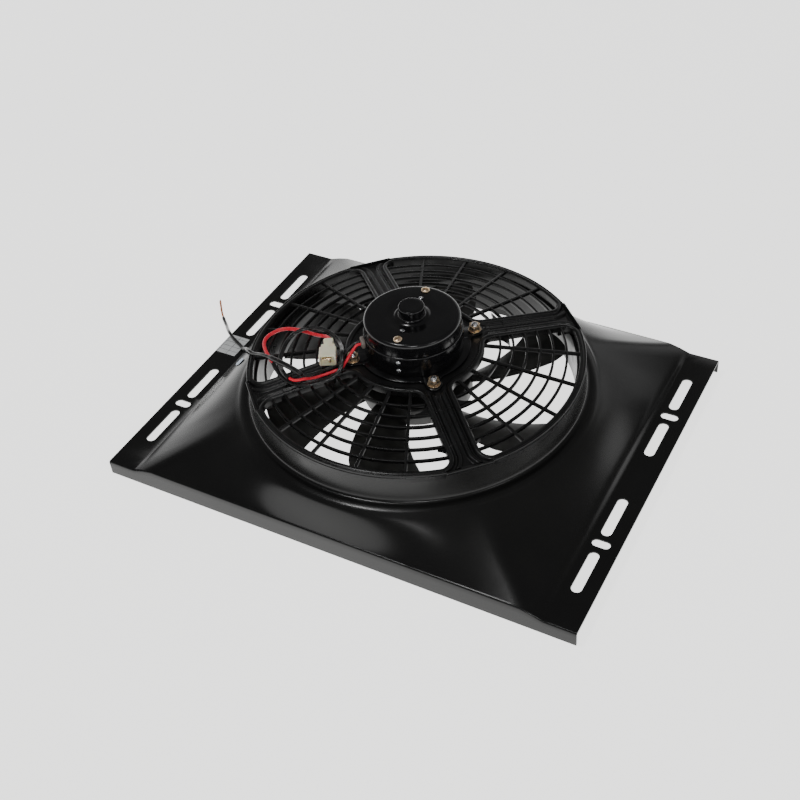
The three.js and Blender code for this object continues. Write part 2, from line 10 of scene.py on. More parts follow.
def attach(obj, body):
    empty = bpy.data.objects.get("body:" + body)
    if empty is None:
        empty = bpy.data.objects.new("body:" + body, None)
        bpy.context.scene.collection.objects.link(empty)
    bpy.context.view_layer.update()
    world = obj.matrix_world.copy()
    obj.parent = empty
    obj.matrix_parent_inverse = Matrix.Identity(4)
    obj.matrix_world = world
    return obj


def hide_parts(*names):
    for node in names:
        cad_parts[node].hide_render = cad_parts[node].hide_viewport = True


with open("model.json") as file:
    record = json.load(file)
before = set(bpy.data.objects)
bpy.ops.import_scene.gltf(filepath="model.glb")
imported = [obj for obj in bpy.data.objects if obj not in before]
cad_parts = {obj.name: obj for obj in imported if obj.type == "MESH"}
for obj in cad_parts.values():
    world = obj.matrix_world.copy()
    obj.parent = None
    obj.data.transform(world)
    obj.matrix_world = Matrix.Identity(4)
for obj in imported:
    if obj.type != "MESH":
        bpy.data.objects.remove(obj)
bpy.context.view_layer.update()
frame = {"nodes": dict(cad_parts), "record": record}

HOUSING, ROTOR = "housing", "rotor"
MM = 0.001
GAP = 0.3


# ------------------------------------------------------------------ camera
CAMERA = {"turn": (31.998, 41.971, -5.526), "target": (-0.034875, 0.019745, 0), "away": 1.28985,
          "lens": 55.36, "sensor": 36}


def make_camera():
    azimuth, elevation, roll = map(math.radians, CAMERA["turn"])
    back = Vector((math.sin(azimuth) * math.cos(elevation),
                   -math.cos(azimuth) * math.cos(elevation), math.sin(elevation)))
    right = back.cross(Vector((0, 0, 1))) * -1
    right.normalize()
    up = back.cross(right)
    x_axis = right * math.cos(roll) + up * math.sin(roll)
    y_axis = up * math.cos(roll) - right * math.sin(roll)
    turn = Matrix((x_axis, y_axis, back)).transposed()
    data = bpy.data.cameras.new("camera")
    data.sensor_width = CAMERA["sensor"]
    data.lens = CAMERA["lens"]
    data.clip_start, data.clip_end = 0.05, 50
    camera = bpy.data.objects.new("camera", data)
    place = Vector(CAMERA["target"]) + back * CAMERA["away"]
    camera.matrix_world = Matrix.Translation(place) @ turn.to_4x4()
    bpy.context.collection.objects.link(camera)
    bpy.context.scene.camera = camera


make_camera()


# ------------------------------------------------------------------ materials
class Shader:
    """A principled material and the nodes that feed it."""

    def __init__(self, name, color, roughness, metallic=0.0, **sockets):
        self.material = bpy.data.materials.new(name)
        self.material.use_nodes = True
        self.tree = self.material.node_tree
        self.bsdf = self.tree.nodes["Principled BSDF"]
        self.color = color
        self.set("Base Color", (*color, 1))
        self.set("Roughness", roughness)
        self.set("Metallic", metallic)
        for socket, value in sockets.items():
            self.set(socket.replace("_", " "), value)
        self.place = self.tree.nodes.new("ShaderNodeTexCoord").outputs["Object"]
        self.height = None

    def set(self, socket, value):
        self.bsdf.inputs[socket].default_value = value

    def link(self, a, b):
        self.tree.links.new(a, b)

    def node(self, kind, **settings):
        node = self.tree.nodes.new(kind)
        for key, value in settings.items():
            setattr(node, key, value)
        return node

    def noise(self, scale, detail=3.0, stretch=(1, 1, 1)):
        mapping = self.node("ShaderNodeMapping")
        mapping.inputs["Scale"].default_value = stretch
        self.link(self.place, mapping.inputs["Vector"])
        noise = self.node("ShaderNodeTexNoise")
        noise.inputs["Scale"].default_value = scale
        noise.inputs["Detail"].default_value = detail
        self.link(mapping.outputs["Vector"], noise.inputs["Vector"])
        return noise.outputs["Fac"]

    def spread(self, fac, low, high, start=0.35, end=0.65):
        remap = self.node("ShaderNodeMapRange")
        for socket, value in zip(("From Min", "From Max", "To Min", "To Max"), (start, end, low, high)):
            remap.inputs[socket].default_value = value
        self.link(fac, remap.inputs["Value"])
        return remap.outputs["Result"]

    def vary_roughness(self, scale, low, high, detail=4.0, stretch=(1, 1, 1)):
        self.link(self.spread(self.noise(scale, detail, stretch), low, high), self.bsdf.inputs["Roughness"])
        return self

    def vary_color(self, scale, other, amount=1.0, start=0.4, end=0.7, detail=4.0, stretch=(1, 1, 1)):
        mixer = self.node("ShaderNodeMix", data_type="RGBA")
        source = self.bsdf.inputs["Base Color"]
        if source.is_linked:
            self.link(source.links[0].from_socket, mixer.inputs["A"])
        else:
            mixer.inputs["A"].default_value = (*self.color, 1)
        mixer.inputs["B"].default_value = (*other, 1)
        self.link(self.spread(self.noise(scale, detail, stretch), 0, amount, start, end),
                  mixer.inputs["Factor"])
        self.link(mixer.outputs["Result"], source)
        return self

    def bump(self, scale, depth, detail=2.0, stretch=(1, 1, 1)):
        """Adds a layer of relief, its depth in metres."""
        bump = self.node("ShaderNodeBump")
        bump.inputs["Distance"].default_value = depth
        self.link(self.noise(scale, detail, stretch), bump.inputs["Height"])
        if self.height is not None:
            self.link(self.height, bump.inputs["Normal"])
        self.height = bump.outputs["Normal"]
        self.link(self.height, self.bsdf.inputs["Normal"])
        return self


def black_paint():
    """Satin enamel on pressed steel: slight orange peel, handling haze and dust."""
    s = Shader("black_paint", (0.005, 0.005, 0.005), 0.22, Specular_IOR_Level=0.3)
    s.vary_roughness(12, 0.19, 0.27)
    s.vary_color(1400, (0.03, 0.03, 0.03), 0.4, 0.68, 0.76, detail=1)
    s.vary_color(9, (0.009, 0.009, 0.0085), 0.8)
    return s.bump(9, 0.0006, 1).bump(900, 0.0000025, 2).material


def gloss_paint():
    s = Shader("gloss_paint", (0.004, 0.004, 0.0045), 0.18, Specular_IOR_Level=0.42)
    s.vary_roughness(60, 0.15, 0.22)
    s.vary_color(1800, (0.03, 0.03, 0.03), 0.4, 0.68, 0.76, detail=1)
    return s.bump(500, 0.000006, 2).material


def black_moulding():
    s = Shader("black_moulding", (0.006, 0.006, 0.006), 0.3, Specular_IOR_Level=0.3)
    s.vary_roughness(70, 0.25, 0.36)
    s.vary_color(1500, (0.04, 0.04, 0.04), 0.4, 0.68, 0.76, detail=1)
    return s.bump(700, 0.00001, 3).material


def blade_plastic():
    s = Shader("blade_plastic", (0.011, 0.011, 0.010), 0.44)
    s.vary_roughness(40, 0.4, 0.56)
    s.vary_color(120, (0.022, 0.022, 0.019), 0.8, stretch=(1, 1, 0.4))
    return s.bump(1100, 0.00002, 3).material


def yellow_zinc():
    s = Shader("yellow_zinc", (0.72, 0.56, 0.36), 0.2, 0.95)
    s.vary_color(260, (0.78, 0.56, 0.46), 0.7)
    s.vary_color(420, (0.5, 0.52, 0.4), 0.35, 0.5, 0.75)
    s.vary_roughness(500, 0.2, 0.38)
    return s.bump(1600, 0.00001, 2).material


def bright_steel():
    s = Shader("bright_steel", (0.55, 0.56, 0.58), 0.25, 1.0)
    s.vary_roughness(300, 0.18, 0.34, stretch=(1, 1, 0.1))
    s.vary_color(90, (0.42, 0.42, 0.43), 0.6)
    return s.bump(900, 0.000008, 2, stretch=(1, 1, 0.1)).material


def lamination_steel():
    s = Shader("lamination_steel", (0.15, 0.155, 0.16), 0.45, 0.9)
    s.vary_color(80, (0.09, 0.085, 0.08), 0.7)
    s.vary_roughness(200, 0.36, 0.55)
    return s.bump(2000, 0.00006, 1, stretch=(0.02, 0.02, 1)).material


def copper():
    s = Shader("copper", (0.62, 0.26, 0.11), 0.3, 1.0)
    s.vary_color(300, (0.42, 0.2, 0.12), 0.7)
    s.vary_roughness(400, 0.22, 0.4)
    return s.bump(1400, 0.00005, 1, stretch=(1, 1, 0.3)).material


def ferrite():
    s = Shader("ferrite", (0.04, 0.04, 0.042), 0.75)
    s.vary_roughness(200, 0.65, 0.85)
    return s.bump(900, 0.00004, 4).material


def carbon():
    s = Shader("carbon", (0.024, 0.024, 0.026), 0.6)
    s.vary_roughness(300, 0.5, 0.75)
    return s.bump(1200, 0.00003, 3).material


def phenolic():
    s = Shader("phenolic", (0.147, 0.068, 0.023), 0.5)
    s.vary_color(400, (0.09, 0.04, 0.015), 0.8, stretch=(1, 0.2, 1))
    return s.bump(700, 0.00002, 3).material


def red_insulation():
    s = Shader("red_insulation", (0.85, 0.016, 0.04), 0.34, Specular_IOR_Level=0.4)
    s.vary_color(60, (0.7, 0.01, 0.03), 0.7)
    s.vary_roughness(200, 0.24, 0.4)
    return s.bump(700, 0.000015, 2).material


def black_insulation():
    s = Shader("black_insulation", (0.006, 0.006, 0.006), 0.28, Specular_IOR_Level=0.4)
    s.vary_color(90, (0.012, 0.012, 0.012), 0.7)
    s.vary_roughness(160, 0.22, 0.4)
    return s.bump(600, 0.00002, 2).material


def ivory_nylon():
    s = Shader("ivory_nylon", (0.94, 0.89, 0.68), 0.4, Subsurface_Weight=0.15, Subsurface_Scale=0.002)
    s.vary_color(120, (0.88, 0.80, 0.56), 0.6)
    s.vary_roughness(250, 0.34, 0.5)
    return s.bump(800, 0.00002, 3).material


def grey_rubber():
    s = Shader("grey_rubber", (0.2, 0.17, 0.15), 0.55)
    s.vary_color(150, (0.12, 0.1, 0.09), 0.7)
    return s.bump(900, 0.00003, 3).material


def label_film():
    """Silver film with a faint ruled table on it and no lettering."""
    s = Shader("label_film", (0.8, 0.82, 0.82), 0.34, 0.1)
    s.vary_color(200, (0.7, 0.72, 0.72), 0.6)
    brick = s.node("ShaderNodeTexBrick", offset=0.0)
    settings = {"Scale": 1, "Mortar Size": 0.00022, "Brick Width": 0.0118, "Row Height": 0.0068,
                "Color1": (1, 1, 1, 1), "Color2": (1, 1, 1, 1), "Mortar": (0.12, 0.12, 0.13, 1)}
    for socket, value in settings.items():
        brick.inputs[socket].default_value = value
    s.link(s.place, brick.inputs["Vector"])
    mixer = s.node("ShaderNodeMix", data_type="RGBA", blend_type="MULTIPLY")
    mixer.inputs["Factor"].default_value = 1
    source = s.bsdf.inputs["Base Color"]
    s.link(source.links[0].from_socket, mixer.inputs["A"])
    s.link(brick.outputs["Color"], mixer.inputs["B"])
    s.link(mixer.outputs["Result"], source)
    s.vary_roughness(300, 0.22, 0.42)
    return s.bump(60, 0.0002, 2).material


def dot_ink():
    s = Shader("dot_ink", (0.40, 0.50, 0.66), 0.42)
    s.vary_color(700, (0.62, 0.68, 0.76), 0.9)
    return s.bump(900, 0.00005, 3).material


MATERIALS = {make.__name__: make() for make in (
    black_paint, gloss_paint, black_moulding, blade_plastic, yellow_zinc, bright_steel,
    lamination_steel, copper, ferrite, carbon, phenolic, red_insulation, black_insulation,
    ivory_nylon, grey_rubber, label_film, dot_ink)}
SLOTS = {entry["node"]: entry["material_slot"] for entry in frame["record"]["subparts"]}


# ------------------------------------------------------------------ mesh helpers
def polar(r, degrees):
    return r * math.cos(math.radians(degrees)), r * math.sin(math.radians(degrees))


def mix(a, b, t):
    return a + (b - a) * t


def smooth(t):
    t = min(1.0, max(0.0, t))
    return t * t * (3 - 2 * t)


def arc(r, start, end, steps, centre=(0, 0)):
    points = (polar(r, mix(start, end, i / steps)) for i in range(steps + 1))
    return [(x + centre[0], y + centre[1]) for x, y in points]


def smooth_line(route, steps):
    """A Catmull-Rom line through a route's points."""
    points = [Vector(p) for p in route]
    points = [points[0] * 2 - points[1], *points, points[-1] * 2 - points[-2]]
    line = []
    for a, b, c, d in zip(points, points[1:], points[2:], points[3:]):
        for i in range(steps):
            t = i / steps
            line.append(0.5 * (2 * b + (c - a) * t + (2 * a - 5 * b + 4 * c - d) * t * t
                               + (3 * b - 3 * c + d - a) * t ** 3))
    return [*line, points[-2]]


def new_object(name, points, faces):
    """A bare object from points in millimetres, its normals facing out."""
    mesh = bpy.data.meshes.new(name)
    mesh.from_pydata([[c * MM for c in p] for p in points], [], faces)
    work = bmesh.new()
    work.from_mesh(mesh)
    bmesh.ops.remove_doubles(work, verts=work.verts, dist=1e-6)
    bmesh.ops.dissolve_degenerate(work, dist=1e-7, edges=work.edges)
    bmesh.ops.recalc_face_normals(work, faces=work.faces)
    work.to_mesh(mesh)
    work.free()
    result = bpy.data.objects.new(name, mesh)
    bpy.context.collection.objects.link(result)
    return result


class Parts:
    """Points and faces of several surfaces gathered into one piece."""

    def __init__(self):
        self.points, self.faces = [], []

    def add(self, points, faces):
        start = len(self.points)
        self.points.extend(points)
        self.faces.extend([[i + start for i in face] for face in faces])
        return self

    def rings(self, rings, closed=False, caps=True):
        """A skin over rings of points; closed joins the last ring to the first."""
        n = len(rings[0])
        spans = range(len(rings) if closed else len(rings) - 1)
        faces = [[i * n + j, i * n + (j + 1) % n, (i + 1) % len(rings) * n + (j + 1) % n,
                  (i + 1) % len(rings) * n + j] for i in spans for j in range(n)]
        if caps and not closed:
            faces += [list(range(n))[::-1], [(len(rings) - 1) * n + j for j in range(n)]]
        return self.add([p for ring in rings for p in ring], faces)

    def lathe(self, profile, segments=128, centre=(0, 0)):
        """A turned surface; a profile that starts and ends on the axis is closed by it."""
        closed = profile[0][0] > 0
        rings = []
        for r, z in profile:
            ring = arc(max(r, 1e-4), 0, 360, segments, centre)[:-1]
            rings.append([(x, y, z) for x, y in ring])
        return self.rings(rings, closed=closed, caps=False)

    def build(self, name, slot, body, nodes, sharp=32):
        """A piece with the finish of a slot, riding on a body in place of its CAD nodes."""
        piece = new_object(name, self.points, self.faces)
        mesh = piece.data
        mesh.polygons.foreach_set("use_smooth", [True] * len(mesh.polygons))
        mesh.set_sharp_from_angle(angle=math.radians(sharp))
        mesh.materials.append(MATERIALS[slot])
        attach(piece, body)
        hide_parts(*nodes)
        return piece


def settle(parts, at, turn):
    """Turns points about Z, then moves them to their place."""
    c, s = polar(1, turn)
    x0, y0, z0 = at
    parts.points = [(x * c - y * s + x0, x * s + y * c + y0, z + z0) for x, y, z in parts.points]
    return parts


def keep_modifiers(piece, sharp):
    """Turns a piece's modifiers into its mesh, with crisp edges above an angle."""
    bpy.context.view_layer.update()
    shown = piece.evaluated_get(bpy.context.evaluated_depsgraph_get())
    result = bpy.data.meshes.new_from_object(shown)
    old = piece.data
    piece.modifiers.clear()
    piece.data = result
    bpy.data.meshes.remove(old)
    result.name = piece.name
    result.set_sharp_from_angle(angle=math.radians(sharp))


def rounded(profile, radius, steps=3, closed=True):
    """A profile with each corner rounded; a corner may give its own radius as a third number."""
    result = []
    count = len(profile)
    for i, corner in enumerate(profile):
        here = Vector(corner[:2])
        size = corner[2] if len(corner) > 2 else radius
        if size <= 0 or (not closed and i in (0, count - 1)):
            result.append(tuple(here))
            continue
        before, after = Vector(profile[i - 1][:2]), Vector(profile[(i + 1) % count][:2])
        reach = min(size, (before - here).length * 0.48, (after - here).length * 0.48)
        a = here + (before - here).normalized() * reach
        b = here + (after - here).normalized() * reach
        for k in range(steps + 1):
            t = k / steps
            result.append(tuple(a.lerp(here, t).lerp(here.lerp(b, t), t)))
    return result


# ------------------------------------------------------------------ wiring
# Each route is a lead's centre line from end to end, in metres.
RED_LEAD = [
    (-0.0378, -0.0362, 0.118), (-0.0405, -0.0388, 0.1175), (-0.0425, -0.0435, 0.1146),
    (-0.044, -0.049, 0.1108), (-0.0455, -0.0545, 0.1066), (-0.047, -0.061, 0.1034),
    (-0.051, -0.065, 0.1026), (-0.055, -0.069, 0.1016), (-0.06, -0.074, 0.1006),
    (-0.065, -0.079, 0.1002), (-0.069, -0.0836, 0.1012), (-0.072, -0.088, 0.1031),
    (-0.0754, -0.092, 0.1037), (-0.08, -0.094, 0.1036), (-0.0856, -0.0929, 0.103),
]
BLACK_LEAD = [
    (-0.04, -0.0338, 0.118), (-0.0428, -0.0364, 0.1174), (-0.046, -0.0404, 0.1152),
    (-0.0486, -0.045, 0.1124), (-0.0504, -0.0495, 0.1086), (-0.0514, -0.054, 0.1052),
    (-0.0526, -0.0584, 0.1036), (-0.0548, -0.0622, 0.103), (-0.058, -0.066, 0.1028),
    (-0.0614, -0.0704, 0.103), (-0.0646, -0.0754, 0.1038), (-0.0674, -0.0806, 0.1051),
    (-0.0696, -0.0844, 0.1061), (-0.0714, -0.0866, 0.1066), (-0.0732, -0.0873, 0.1067),
]
SHEATHED_LOOP = [
    (-0.0864, -0.0927, 0.103), (-0.0914, -0.0904, 0.1025), (-0.099, -0.0846, 0.1006),
    (-0.1055, -0.078, 0.0983), (-0.1105, -0.071, 0.0967), (-0.116, -0.062, 0.0965),
    (-0.12, -0.05, 0.0966), (-0.1216, -0.0395, 0.0976), (-0.119, -0.0316, 0.1006),
    (-0.113, -0.0256, 0.1034), (-0.1066, -0.0208, 0.1042), (-0.0996, -0.017, 0.1036),
    (-0.0906, -0.016, 0.1024), (-0.079, -0.0206, 0.1029), (-0.0674, -0.0294, 0.105),
    (-0.0576, -0.0404, 0.11), (-0.0516, -0.0495, 0.1136), (-0.0476, -0.0565, 0.1122),
    (-0.0456, -0.062, 0.1088), (-0.045, -0.0676, 0.1058), (-0.048, -0.074, 0.1034),
    (-0.053, -0.0794, 0.1012), (-0.06, -0.0852, 0.1), (-0.0684, -0.0904, 0.0988),
    (-0.078, -0.0924, 0.0976), (-0.09, -0.091, 0.0968), (-0.101, -0.086, 0.0962),
    (-0.111, -0.079, 0.0957), (-0.1178, -0.0732, 0.0954),
]
RED_PIGTAIL = [
    (-0.1183, -0.0728, 0.0954), (-0.123, -0.0696, 0.095), (-0.13, -0.064, 0.0942),
    (-0.138, -0.057, 0.0935), (-0.144, -0.05, 0.0931), (-0.147, -0.043, 0.093),
    (-0.147, -0.036, 0.0932), (-0.144, -0.03, 0.0938), (-0.14, -0.025, 0.0945),
    (-0.133, -0.0218, 0.0955), (-0.125, -0.0206, 0.0965), (-0.117, -0.0208, 0.0976),
    (-0.107, -0.0222, 0.0989), (-0.098, -0.0244, 0.101), (-0.091, -0.0254, 0.1028),
    (-0.0846, -0.0264, 0.1046), (-0.079, -0.0296, 0.1063), (-0.0764, -0.0333, 0.107),
]
SLEEVE = [
    (-0.0743, -0.0872, 0.1067), (-0.085, -0.084, 0.1067), (-0.098, -0.0804, 0.106),
    (-0.111, -0.0768, 0.1044), (-0.123, -0.073, 0.102),
]
BLACK_TAIL = [
    (-0.1234, -0.0728, 0.1019), (-0.132, -0.07, 0.099), (-0.14, -0.0676, 0.0954),
    (-0.147, -0.066, 0.0928), (-0.1534, -0.0634, 0.0916), (-0.16, -0.0584, 0.0878),
    (-0.167, -0.051, 0.0795), (-0.175, -0.0416, 0.069), (-0.182, -0.0334, 0.061),
    (-0.1886, -0.0264, 0.0544), (-0.196, -0.0194, 0.0468), (-0.2034, -0.012, 0.0382),
    (-0.211, -0.0038, 0.0286), (-0.2184, 0.004, 0.0206), (-0.226, 0.0094, 0.0189),
    (-0.235, 0.014, 0.0187), (-0.243, 0.0184, 0.0186), (-0.25, 0.0232, 0.0186),
    (-0.257, 0.0296, 0.0154), (-0.265, 0.038, 0.0088), (-0.273, 0.0464, 0.0044),
    (-0.281, 0.054, 0.0024), (-0.2874, 0.06, 0.0021),
]
BARE_TIP = [
    (-0.2877, 0.0603, 0.0021), (-0.295, 0.068, 0.0018), (-0.303, 0.0776, 0.0016),
    (-0.31, 0.086, 0.0016),
]
SMOOTH_STEPS = 6


def sweep(line, section_at):
    """Rings along a line in metres; section_at(i, share) gives across and up offsets in mm."""
    rings = []
    for i, point in enumerate(line):
        ahead = (line[min(i + 1, len(line) - 1)] - line[max(i - 1, 0)]).normalized()
        side = ahead.cross(Vector((0, 0, 1))).normalized()
        up = side.cross(ahead)
        rings.append([tuple(point / MM + side * x + up * y)
                      for x, y in section_at(i, i / (len(line) - 1))])
    return rings


def round_section(radius, sides=20, centre=(0, 0)):
    return arc(radius, 0, 360, sides, centre)[:-1]


def tube_piece(name, slot, route, section_at, nodes):
    line = smooth_line(route, SMOOTH_STEPS)
    parts = Parts().rings(sweep(line, section_at))
    return parts.build(name, slot, HOUSING, nodes), [tuple(p) for p in line]


def wire(name, slot, route, radius, node):
    """A plain insulated wire, its end faces slightly rounded."""
    def section_at(i, _):
        last = (len(route) - 1) * SMOOTH_STEPS
        return round_section(radius * (0.88 if i in (0, last) else 1))
    return tube_piece(name, slot, route, section_at, [node])


def twin_section(_, __):
    """Two cores side by side, joined by a web."""
    core, apart = 1.22, 1.08
    right = arc(core, -118, 118, 12, (apart, 0))
    left = arc(core, 62, 298, 12, (-apart, 0))
    return right + left


def sleeve_section(i, share):
    """Shrink sleeve: full over the splice, closer on the wire at each end."""
    end = min(share, 1 - share)
    return round_section(mix(1.95, 2.7, smooth(end / 0.14)) + 0.04 * math.sin(i * 1.3), 24)


def make_wiring():
    red, red_path = wire("motor_lead_red", "red_insulation", RED_LEAD, 1.4, "red_lead")
    black, black_path = wire("motor_lead_black", "black_insulation", BLACK_LEAD, 1.4, "black_lead")
    loop, loop_path = tube_piece("twin_loop", "black_insulation", SHEATHED_LOOP, twin_section,
                                 ["sheathed_loop"])
    pigtail, pigtail_path = wire("pigtail_red", "red_insulation", RED_PIGTAIL, 1.85, "red_pigtail")
    sleeve, _ = tube_piece("shrink_sleeve", "black_insulation", SLEEVE, sleeve_section,
                           ["splice_sleeve"])
    tail, tail_path = wire("tail_black", "black_insulation", BLACK_TAIL, 1.8, "black_tail")
    tip = make_bare_tip()
    housing, terminals = make_connector()


STRAND = {"count": 7, "r": 0.38, "twist": 420}


def make_bare_tip():
    """Seven twisted strands that open a little towards the end."""
    line = smooth_line(BARE_TIP, SMOOTH_STEPS)
    parts = Parts()
    for strand in range(STRAND["count"]):
        def section_at(_, share, strand=strand):
            turn = strand * 60 + STRAND["twist"] * share
            spread = 0 if strand == STRAND["count"] - 1 else mix(0.74, 0.86, share)
            return round_section(STRAND["r"], 8, polar(spread, turn))
        stop = len(line) - (strand % 3)
        parts.rings(sweep(line[:stop], section_at))
    return parts.build("tail_strands", "copper", HOUSING, ["bare_tip"], sharp=60)


# ------------------------------------------------------------------ connector
CONNECTOR = {"at": (-68.5, -48, 101.6), "turn": 298}


def box_rings(x0, x1, half, low, high, round_by=0.7):
    """Rings of a box along X whose long edges are rounded."""
    outline = rounded([(-half, low), (half, low), (half, high), (-half, high)], round_by, 3)
    inset = rounded([(-half + 0.4, low + 0.4), (half - 0.4, low + 0.4), (half - 0.4, high - 0.4),
                     (-half + 0.4, high - 0.4)], round_by, 3)
    return [[(x, y, z) for y, z in shape] for x, shape in
            ((x0, inset), (x0 + 0.35, outline), (x1 - 0.35, outline), (x1, inset))]


def make_connector():
    """The two-way housing, its mouth towards +X of its own axes."""
    outer = rounded([(-8.25, 0), (8.25, 0), (8.25, 12.5), (-8.25, 12.5)], 1.6, 4)
    mouth = rounded([(-6.75, 1.5), (6.75, 1.5), (6.75, 11), (-6.75, 11)], 0.8, 4)
    lip = [(y * 0.965, 6.25 + (z - 6.25) * 0.955) for y, z in outer]
    profile = [(0, lip), (0.5, outer), (14.1, outer), (14.5, lip), (14.5, mouth), (8.5, mouth)]
    parts = Parts().rings([[(x, y, z) for y, z in shape] for x, shape in profile])
    parts.rings(box_rings(-4.9, 0.3, 6.75, 0.5, 11.6, 1.4))
    parts.rings(box_rings(-14.5, -4.5, 4.3, 2, 11, 1))
    parts.rings(box_rings(-7.5, 1.5, 2.15, 10.8, 12.4, 0.5))
    parts.rings(box_rings(-12.8, -11, 4.9, 1.7, 11.3, 0.5))
    settle(parts, **CONNECTOR)
    housing = parts.build("connector_housing", "ivory_nylon", HOUSING, ["connector"])
    blades = Parts()
    for y, half, low, high in ((-0.8, 4.4, 7, 8.2), (2.4, 0.6, 2.9, 7.9)):
        shape = box_rings(4.9, 13.9, half, low, high, 0.25)
        blades.rings([[(x, y + across, z) for x, across, z in ring] for ring in shape])
    settle(blades, **CONNECTOR)
    terminals = blades.build("connector_blades", "yellow_zinc", HOUSING, ["connector_terminals"])
    return housing, terminals


make_wiring()


# ------------------------------------------------------------------ pressed steel cowl
PLATE = {"x": 250, "y": 193.5, "z": 15.7, "sheet": 1.5, "bend": 2.0}
HOOD = {"border": 30.8, "rise": 6.5, "ramp": 20}
BEAD = {"in": 4.5, "half": 2.4, "height": 0.9, "short": 10}
SLOT = {"edge": 18.8, "width": 10, "length": 50, "at": (56, 127.5)}
CROSS_SLOT = {"edge": 18, "width": 9, "length": 17.4, "at": 91.5}
EDGE_X = PLATE["x"] - HOOD["border"]
EDGE_Y = PLATE["y"] - PLATE["bend"]
CORNER = math.degrees(math.atan2(EDGE_Y, EDGE_X))
STRIP_COLUMNS = [EDGE_X + (PLATE["x"] - EDGE_X) * i / 6 for i in range(1, 7)]


def hood_rise(x):
    """How far the hood's front and rear edges stand above the strips."""
    return HOOD["rise"] * smooth((EDGE_X - abs(x)) / HOOD["ramp"])


def hood_border(angle):
    c, s = (abs(v) for v in polar(1, angle))
    if c * EDGE_Y > s * EDGE_X:
        return EDGE_X / c, PLATE["z"]
    r = EDGE_Y / s
    return r, PLATE["z"] + hood_rise(r * c)


COLLAR_LINE = [(165, 86), (165.25, 78), (165.6, 70), (166.2, 63), (166.9, 59.4), (168.2, 57.7),
               (170.2, 57.1), (173, 56.9), (175.8, 56.3), (178.2, 55.4), (180.2, 54.1)]
HOOD_SHARES = [i / 28 for i in range(1, 26)] + [0.91, 0.925, 0.94, 0.953, 0.964, 0.974, 0.983, 0.992, 1]


def border_bead(x, y):
    """A low bead in the sheet, just inside the edge where the hood meets a side strip."""
    inside = (EDGE_X - BEAD["in"] - abs(x)) / BEAD["half"]
    ends = smooth((EDGE_X - abs(x)) / 2) * smooth((EDGE_Y - BEAD["short"] - abs(y)) / 12)
    return BEAD["height"] * math.exp(-inside * inside) * ends


def hood_line(angle):
    """The hood's section on one ray: collar, foot, shoulder, then the slope to the border."""
    r_edge, z_edge = hood_border(angle)
    line = [tuple(p) for p in smooth_line(COLLAR_LINE, 2)]
    r0, z0 = COLLAR_LINE[-1]
    run, fall = r_edge - r0, z_edge - z0
    start = max(fall, -0.45 * run)
    for t in HOOD_SHARES:
        r = r0 + t * run
        z = z0 + t * (1 - t) ** 2 * start + t * t * (3 - 2 * t) * fall - t * t * (1 - t) * fall * 0.9
        line.append((r, z + border_bead(*polar(r, angle))))
    return line


def ray_angles():
    """Rays close together where the border is far, and one through each corner."""
    quarter = [i * CORNER / 30 for i in range(31)]
    quarter += [mix(CORNER, 90, i / 32) for i in range(1, 33)]
    half = quarter + [180 - a for a in quarter[-2::-1]]
    return half + [360 - a for a in half[-2:0:-1]]


def stadium(length, width, along_y, x, y, steps=10):
    straight = (length - width) / 2
    loop = arc(width / 2, -90, 90, steps, (straight, 0)) + arc(width / 2, 90, 270, steps, (-straight, 0))
    return [((-b if along_y else a) + x, (a if along_y else b) + y) for a, b in loop]


def strip_faces(side, border):
    """The flat slotted strip on one side: its outline, its slots, and the faces between them."""
    outline = [(side * EDGE_X, y) for y in border]
    outline += [(side * x, EDGE_Y) for x in STRIP_COLUMNS]
    outline += [(side * PLATE["x"], mix(EDGE_Y, -EDGE_Y, i / 24)) for i in range(1, 25)]
    outline += [(side * x, -EDGE_Y) for x in STRIP_COLUMNS[-2::-1]]
    loops = [outline]
    for end in (-1, 1):
        for at in SLOT["at"]:
            loops.append(stadium(SLOT["length"], SLOT["width"], True,
                                 side * (PLATE["x"] - SLOT["edge"]), end * at))
        loops.append(stadium(CROSS_SLOT["length"], CROSS_SLOT["width"], False,
                             side * (PLATE["x"] - CROSS_SLOT["edge"]), end * CROSS_SLOT["at"]))
    work = bmesh.new()
    edges = []
    for loop in loops:
        verts = [work.verts.new((x, y, PLATE["z"])) for x, y in loop]
        edges += [work.edges.new((a, b)) for a, b in zip(verts, verts[1:] + verts[:1])]
    bmesh.ops.triangle_fill(work, use_beauty=True, edges=edges)
    work.verts.index_update()
    points = [tuple(v.co) for v in work.verts]
    faces = [[v.index for v in face.verts] for face in work.faces]
    work.free()
    return points, faces


def flange(parts, end, border):
    """The front or rear edge: a small bend, then straight down to the floor."""
    bend = PLATE["bend"]
    rings = []
    for x, z in border:
        turn = [(x, end * (EDGE_Y + bend * math.sin(a)), z - bend * (1 - math.cos(a)))
                for a in (i * math.pi / 8 for i in range(5))]
        rings.append(turn + [(x, end * PLATE["y"], mix(z - bend, 0, i / 4)) for i in range(1, 5)])
    n = len(rings[0])
    faces = [[i * n + j, i * n + j + 1, (i + 1) * n + j + 1, (i + 1) * n + j]
             for i in range(len(rings) - 1) for j in range(n - 1)]
    parts.add([p for ring in rings for p in ring], faces)


